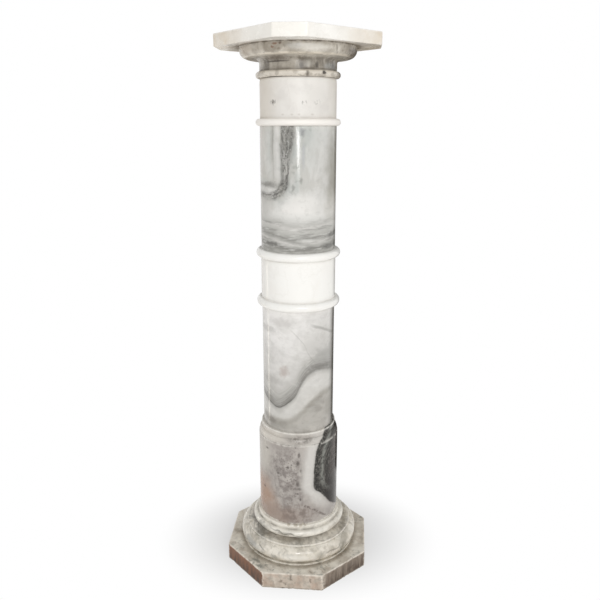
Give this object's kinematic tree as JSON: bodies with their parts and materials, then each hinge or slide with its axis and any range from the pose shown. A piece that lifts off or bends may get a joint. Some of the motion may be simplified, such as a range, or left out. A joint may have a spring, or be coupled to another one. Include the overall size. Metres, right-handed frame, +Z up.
{
  "type": "marble pedestal column",
  "caption": "Plain Doric pedestal column of polished marble: octagonal plinth, moulded base, banded round shaft and a square top with clipped corners.",
  "frame": {"origin": "middle of the plinth's underside, on the floor", "axes": "+Z up along the column's axis; +X and +Y square to the sides of the abacus and to flats of the plinth"},
  "size_m": [0.288, 0.288, 1.05],
  "materials": {
    "white_marble": "polished",
    "grey_banded_marble": "polished",
    "dark_veined_marble": "polished",
    "cream_marble": "polished, worn",
    "stained_marble": "honed, stained"
  },
  "bodies": {
    "root": {"plinth": "stained_marble", "base_moulding": "cream_marble", "lower_drum": "dark_veined_marble", "lower_shaft": "grey_banded_marble", "middle_band": "white_marble", "upper_shaft": "grey_banded_marble", "neck_band": "white_marble", "capital": "cream_marble", "abacus": "white_marble"}
  },
  "joints": []
}
